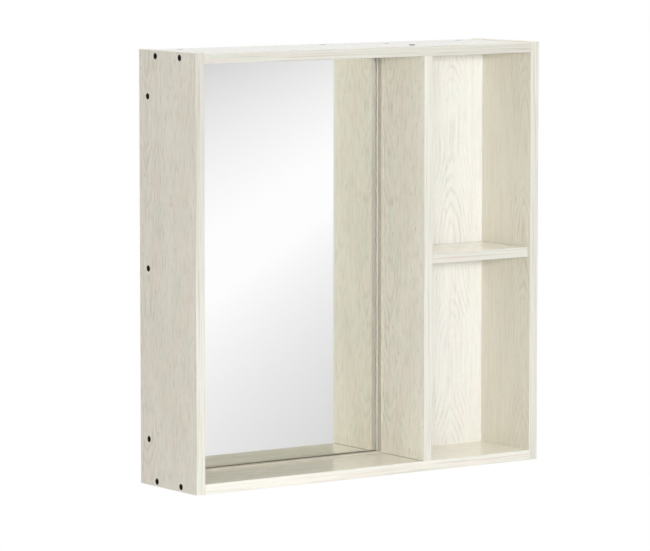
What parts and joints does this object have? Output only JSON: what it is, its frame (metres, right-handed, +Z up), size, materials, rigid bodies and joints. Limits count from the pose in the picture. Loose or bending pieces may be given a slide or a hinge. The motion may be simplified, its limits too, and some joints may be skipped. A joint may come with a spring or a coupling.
{
  "type": "bathroom mirror cabinet",
  "caption": "Wall-hung open bathroom cabinet of bleached-oak board, with a mirror in a wide bay and a loose shelf in a narrow side bay.",
  "frame": {"origin": "on the wall plane, half way between the entry holes of the two hanger plates' keyholes", "axes": "+Z up, +X to the right as seen from the front, +Y out of the back towards the wall, so the open front faces -Y"},
  "size_m": [0.625, 0.1505, 0.64],
  "materials": {
    "bleached_oak_board": "matt melamine facing with a bleached-oak print on particle board",
    "oak_edge_band": "matt printed edge band",
    "mirror_glass": "clear float glass with a ground edge",
    "mirror_silver": "silvered, grey backing paint behind",
    "bead_strip": "matt beige glazing bead",
    "foam_tape": "closed-cell foam",
    "black_steel": "blackened steel",
    "bright_pin": "nickel plate",
    "zinc_steel": "zinc plate"
  },
  "bodies": {
    "carcass": {"left_side_panel": "bleached_oak_board", "right_side_panel": "bleached_oak_board", "top_panel": "bleached_oak_board", "bottom_panel": "bleached_oak_board", "divider_panel": "bleached_oak_board", "back_panel": "bleached_oak_board", "left_side_front_band": "oak_edge_band", "left_side_top_band": "oak_edge_band", "left_side_bottom_band": "oak_edge_band", "right_side_front_band": "oak_edge_band", "right_side_top_band": "oak_edge_band", "right_side_bottom_band": "oak_edge_band", "top_front_band": "oak_edge_band", "bottom_front_band": "oak_edge_band", "divider_front_band": "oak_edge_band", "mirror_glass": "mirror_glass", "mirror_silvering": "mirror_silver", "mirror_tape_strips": "foam_tape", "mirror_bottom_bead": "bead_strip", "mirror_top_bead": "bead_strip", "mirror_left_bead": "bead_strip", "mirror_right_bead": "bead_strip", "left_side_screws": "black_steel", "right_side_screws": "black_steel", "top_screws": "black_steel", "bottom_screws": "black_steel", "shelf_pins": "bright_pin", "left_hanger_plate": "zinc_steel", "right_hanger_plate": "zinc_steel", "hanger_screws": "zinc_steel"},
    "shelf": {"shelf_panel": "bleached_oak_board", "shelf_front_band": "oak_edge_band"}
  },
  "joints": [
    {"name": "shelf_slide", "type": "slide", "parent": "carcass", "child": "shelf", "axis": [0, -1, 0], "range_m": [0, 0.12]}
  ]
}
